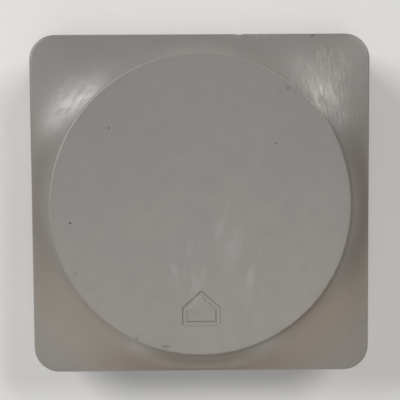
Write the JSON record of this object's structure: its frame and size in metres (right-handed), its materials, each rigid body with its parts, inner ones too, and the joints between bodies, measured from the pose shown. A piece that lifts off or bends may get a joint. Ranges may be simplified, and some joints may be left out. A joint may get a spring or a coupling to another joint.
{
  "type": "wireless push button",
  "caption": "Square battery wireless push button: soft silicone cover with a round dished disc, whole face presses down, coin-turn battery door behind.",
  "frame": {"origin": "middle of the grip pad's underside, which the button rests on", "axes": "+Z out of the face that is pressed, +Y towards the top of the face when it is hung or stood up, +X to its right"},
  "size_m": [0.06, 0.06, 0.0145],
  "materials": {
    "grey_silicone": "matt silicone, slightly greasy, with scuffs and dust",
    "grey_plastic": "fine moulded grain",
    "dark_plastic": "fine moulded grain",
    "dark_silicone": "matt silicone",
    "black_plastic": "matt moulded package",
    "white_plastic": "smooth moulded",
    "spring_steel": "drawn or rolled spring steel",
    "screw_steel": "zinc plated",
    "cell_steel": "nickel plated can with turned grain",
    "tinned_metal": "tinned sheet",
    "board_laminate": "green solder mask",
    "pale_ceramic": "unglazed ceramic",
    "tan_ceramic": "unglazed ceramic"
  },
  "bodies": {
    "base": {"return_springs": "spring_steel", "chassis": "grey_plastic", "back_cover": "dark_plastic", "grip_pad": "dark_silicone", "case_screws": "screw_steel", "coin_cell": "cell_steel", "contact_positive": "spring_steel", "contact_negative": "spring_steel", "main_board": "board_laminate", "board_screws": "screw_steel", "switch_housing": "black_plastic", "switch_terminals": "tinned_metal", "switch_dome": "spring_steel", "switch_cover_plate": "tinned_metal", "radio_chip": "black_plastic", "chip_antenna": "pale_ceramic", "crystals": "tinned_metal", "reservoir_capacitor": "tan_ceramic", "smd_capacitors": "tan_ceramic", "smd_resistors": "black_plastic"},
    "key": {"silicone_cover": "grey_silicone", "key_plate": "grey_plastic", "actuator_pad": "dark_silicone"},
    "plunger": {"switch_plunger": "white_plastic"},
    "door": {"battery_door": "dark_plastic", "door_seal": "dark_silicone"}
  },
  "joints": [
    {"name": "key_press", "type": "slide", "parent": "base", "child": "key", "axis": [0, 0, 1], "range_m": [-0.0006, 0], "stiffness_N_per_m": 1500, "springref_m": 0.0015, "deforming": ["return_springs"]},
    {"name": "switch_press", "type": "slide", "parent": "base", "child": "plunger", "axis": [0, 0, 1], "range_m": [-0.0006, 0], "deforming": ["switch_dome"]},
    {"name": "door_turn", "type": "hinge", "parent": "base", "child": "door", "pos_m": [0, 0, 0.0006], "axis": [0, 0, -1], "range_deg": [0, 32]}
  ],
  "couplings": [
    {"joint": "switch_press", "follows": "key_press", "ratio": 1}
  ]
}
